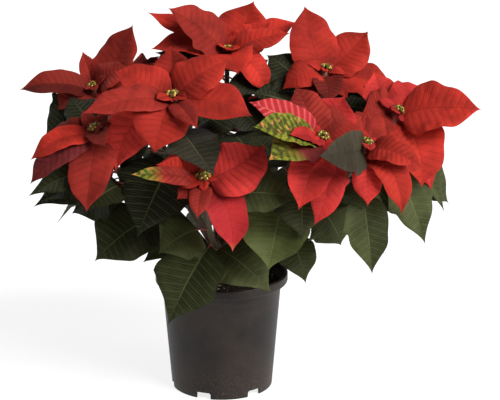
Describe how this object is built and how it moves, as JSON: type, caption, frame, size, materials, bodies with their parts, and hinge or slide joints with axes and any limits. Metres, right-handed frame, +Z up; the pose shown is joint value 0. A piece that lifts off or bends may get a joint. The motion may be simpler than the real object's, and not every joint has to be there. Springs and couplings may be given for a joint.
{
  "type": "potted poinsettia",
  "caption": "Bushy poinsettia with red bract rosettes over dark green leaves, growing from a short woody trunk in a round tapered nursery pot with a turned-out rim and drain slots at its foot.",
  "frame": {"origin": "centre of the pot's underside", "axes": "+Z up out of the pot, -Y towards the plant's front, +X to the right seen from the front"},
  "size_m": [0.473, 0.4181, 0.3966],
  "materials": {
    "pot": "matte black moulded plastic with a soft sheen",
    "soil": null,
    "trunk": "rough brown bark",
    "leaf": null,
    "bract": null,
    "cyathium": null
  },
  "bodies": {
    "root": {"pot": "pot", "soil": "soil", "trunk": "trunk", "leafy_stem_01": "leaf", "bracts_01": "bract", "cyathia_01": "cyathium", "leafy_stem_02": "leaf", "bracts_02": "bract", "cyathia_02": "cyathium", "leafy_stem_03": "leaf", "bracts_03": "bract", "cyathia_03": "cyathium", "leafy_stem_04": "leaf", "bracts_04": "bract", "cyathia_04": "cyathium", "leafy_stem_05": "leaf", "bracts_05": "bract", "cyathia_05": "cyathium", "leafy_stem_06": "leaf", "bracts_06": "bract", "cyathia_06": "cyathium", "leafy_stem_07": "leaf", "bracts_07": "bract", "cyathia_07": "cyathium", "leafy_stem_08": "leaf", "bracts_08": "bract", "cyathia_08": "cyathium", "leafy_stem_09": "leaf", "bracts_09": "bract", "cyathia_09": "cyathium", "leafy_stem_10": "leaf", "bracts_10": "bract", "cyathia_10": "cyathium", "leafy_stem_11": "leaf", "bracts_11": "bract", "cyathia_11": "cyathium", "leafy_stem_12": "leaf", "bracts_12": "bract", "cyathia_12": "cyathium", "leafy_stem_13": "leaf", "bracts_13": "bract", "cyathia_13": "cyathium", "leafy_stem_14": "leaf", "bracts_14": "bract", "cyathia_14": "cyathium"}
  },
  "joints": []
}
